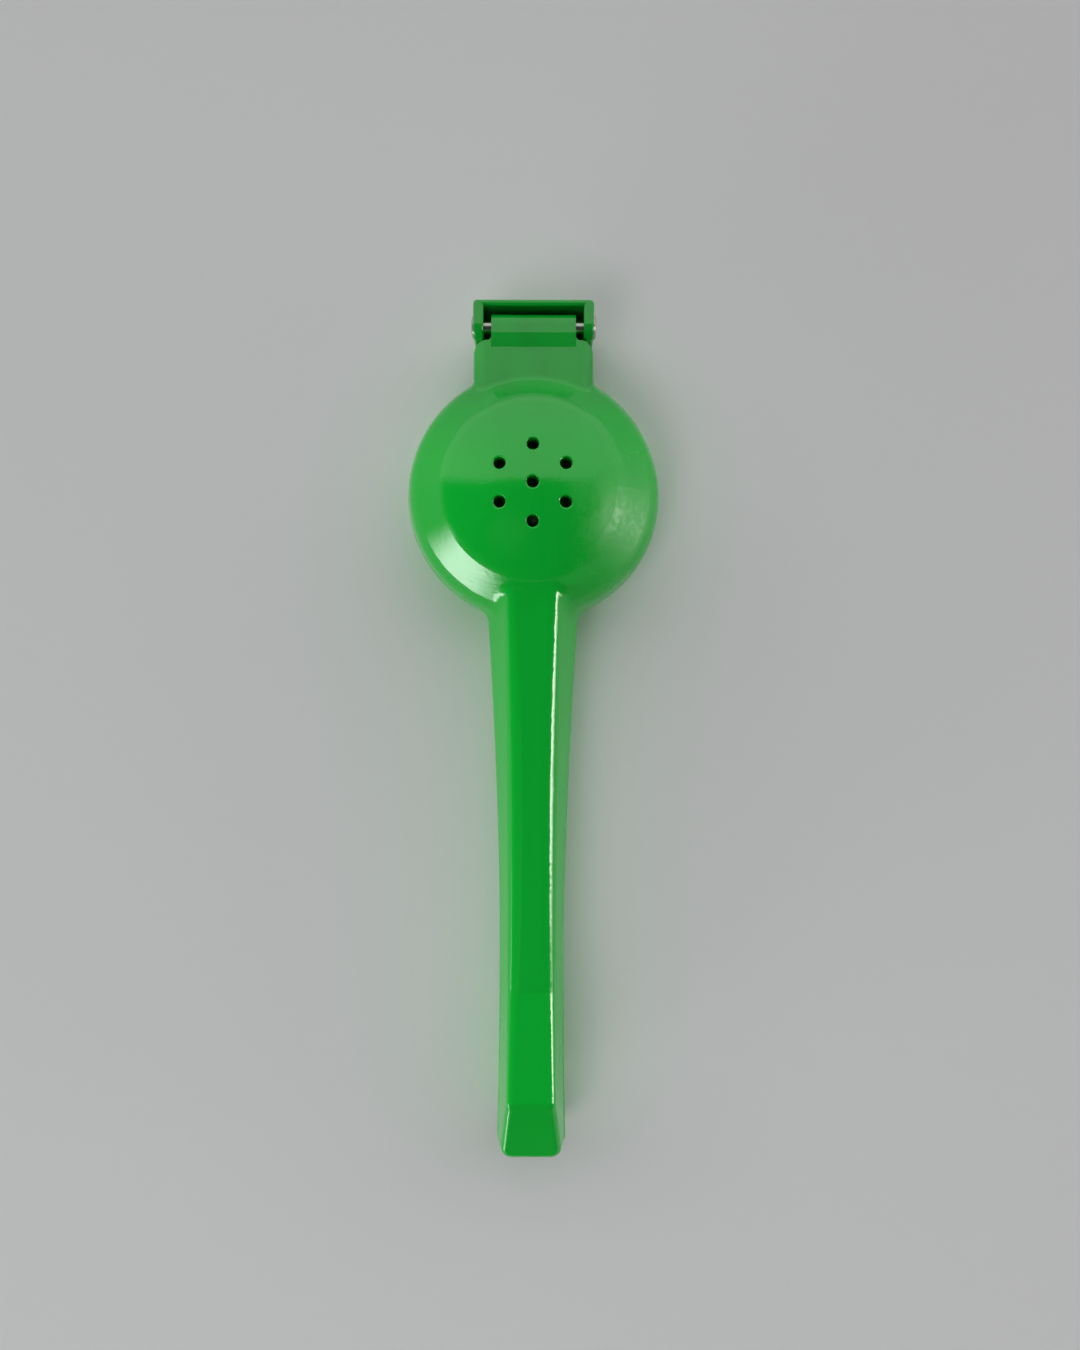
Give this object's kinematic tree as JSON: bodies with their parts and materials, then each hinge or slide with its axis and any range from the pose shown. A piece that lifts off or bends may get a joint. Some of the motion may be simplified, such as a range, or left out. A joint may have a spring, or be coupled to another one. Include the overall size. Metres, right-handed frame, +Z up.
{
  "type": "hinged lemon squeezer",
  "caption": "Hand-held citrus press: a pierced bowl closes over a domed plunger on a riveted hinge and is squeezed by two long handles.",
  "frame": {"origin": "middle of the closed squeezer's footprint, on the surface it rests on", "axes": "+Z up through the bowl's pierced bottom, +Y along the handles from their tips to the hinge, X = 0 the plane of symmetry"},
  "size_m": [0.0628, 0.2096, 0.0355],
  "materials": {
    "enamel": "glossy green baked enamel with a slight orange peel over cast aluminium",
    "rivet_steel": "plain bright steel, slightly dulled"
  },
  "bodies": {
    "press": {"press_half": "enamel", "hinge_pin": "rivet_steel"},
    "cup": {"cup_half": "enamel"}
  },
  "joints": [
    {"name": "hinge", "type": "hinge", "parent": "press", "child": "cup", "pos_m": [0, 0.0989, 0.0205], "axis": [-1, 0, 0], "range_deg": [0, 103]}
  ]
}
